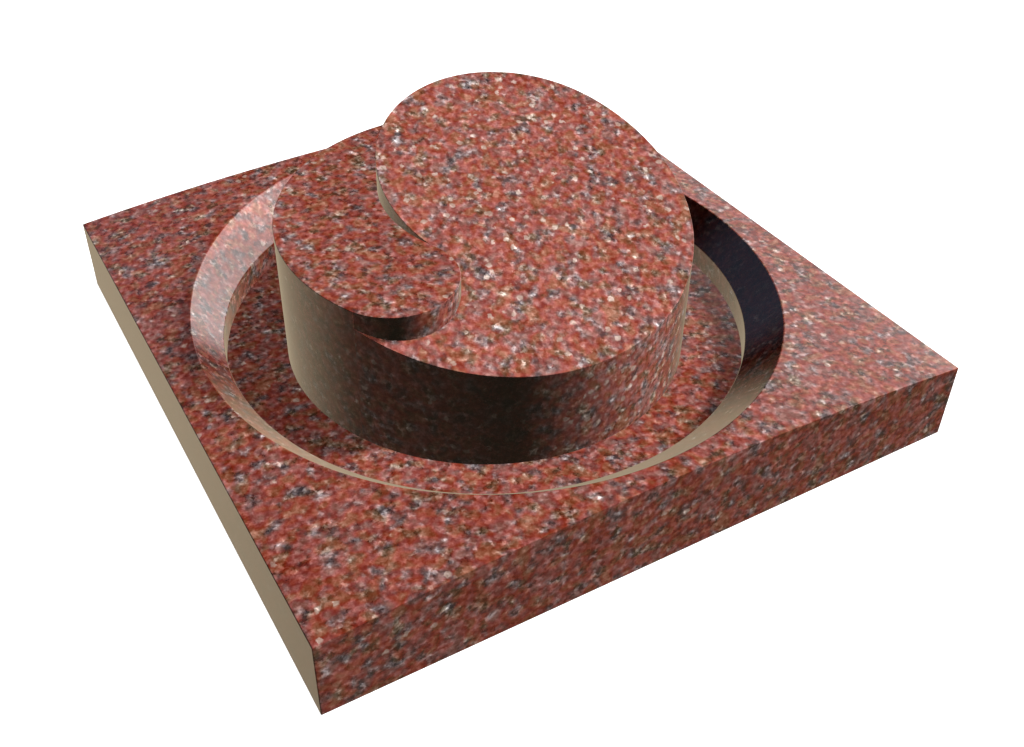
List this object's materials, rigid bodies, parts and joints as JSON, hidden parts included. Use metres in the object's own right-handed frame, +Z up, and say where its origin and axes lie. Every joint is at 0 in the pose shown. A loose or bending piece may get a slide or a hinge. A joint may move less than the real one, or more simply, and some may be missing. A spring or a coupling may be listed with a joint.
{
  "type": "cremation memorial",
  "caption": "Polished red granite cremation memorial: a square cambered plinth with a round bevelled recess around a drum of interlocking comma stones with level and sloping tops.",
  "frame": {"origin": "centre of the plinth's underside, under the axis of the drum", "axes": "+Z up, -Y the front towards which the sloping stone falls, X across the arch of the plinth's cambered top"},
  "size_m": [0.4, 0.4, 0.1439],
  "materials": {
    "plinth_granite": "polished red granite",
    "level_stone_granite": "polished red granite",
    "sloping_stone_granite": "polished red granite"
  },
  "bodies": {
    "root": {"plinth": "plinth_granite", "level_comma_stone": "level_stone_granite", "sloping_comma_stone": "sloping_stone_granite"}
  },
  "joints": []
}
